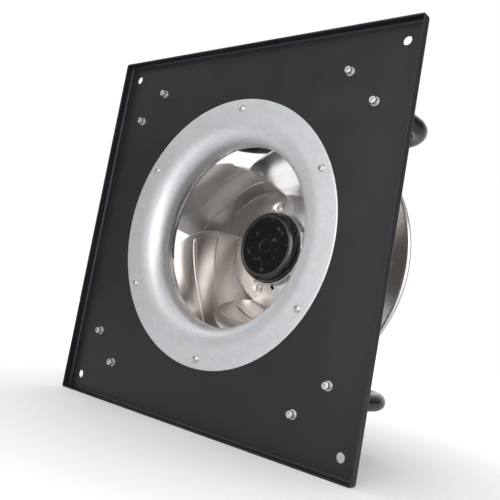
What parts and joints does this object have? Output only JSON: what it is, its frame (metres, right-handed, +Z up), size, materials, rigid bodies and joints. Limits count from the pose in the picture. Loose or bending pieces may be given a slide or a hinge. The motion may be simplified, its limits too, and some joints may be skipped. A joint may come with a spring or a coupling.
{
  "type": "plug fan",
  "caption": "Square plate with inlet nozzle; bent tubes carry an external-rotor motor that spins a backward-curved centrifugal impeller with free outlet.",
  "frame": {"origin": "shaft axis on the front face of the square plate, which is the centre of its four corner holes", "axes": "+Y backward along the shaft from the inlet to the motor, +Z up, +X to the right seen from the inlet"},
  "size_m": [0.5, 0.256, 0.5],
  "materials": {
    "black_sheet": "satin black powder coat",
    "galvanised_sheet": "galvanised, satin",
    "zinc_fasteners": "zinc plated",
    "black_tube": "gloss black paint",
    "cast_aluminium": "die cast, matt",
    "gland_plastic": "black polyamide",
    "board_green": "solder mask",
    "board_parts": "moulded",
    "seal_rubber": "foamed rubber",
    "cover_plastic": "fine grain",
    "core_steel": "laminated",
    "copper": "enamelled copper",
    "bearing_steel": "ground",
    "rotor_black": "gloss black paint",
    "magnet": "sintered",
    "impeller_aluminium": "rolled, semi-bright"
  },
  "bodies": {
    "frame": {"front_plate": "black_sheet", "inlet_nozzle": "galvanised_sheet", "nozzle_screws": "zinc_fasteners", "strut_tube_upper": "black_tube", "strut_tube_lower": "black_tube", "strut_feet": "black_tube", "strut_welds": "black_tube", "strut_bolts": "zinc_fasteners", "strut_washers": "zinc_fasteners", "spring_washers": "zinc_fasteners", "motor_bracket": "black_tube", "bracket_welds": "black_tube", "bracket_bolts": "zinc_fasteners", "stator_flange": "cast_aluminium", "electronics_pot": "cast_aluminium", "pot_screws": "zinc_fasteners", "gland_bodies": "gland_plastic", "gland_nuts": "gland_plastic", "circuit_board": "board_green", "board_parts": "board_parts", "cover_seal": "seal_rubber", "electronics_cover": "cover_plastic", "cover_screws": "zinc_fasteners", "stator_core": "core_steel", "stator_coils": "copper", "front_bearing": "bearing_steel", "rear_bearing": "bearing_steel"},
    "impeller": {"rotor_can": "rotor_black", "rotor_magnets": "magnet", "motor_shaft": "bearing_steel", "shaft_clip": "core_steel", "impeller_shroud": "impeller_aluminium", "impeller_back_plate": "impeller_aluminium", "impeller_blades": "impeller_aluminium", "hub_screws": "zinc_fasteners"}
  },
  "joints": [
    {"name": "impeller_spin", "type": "hinge", "parent": "frame", "child": "impeller", "pos_m": [0, 0.13, 0], "axis": [0, 1, 0], "continuous": true}
  ]
}
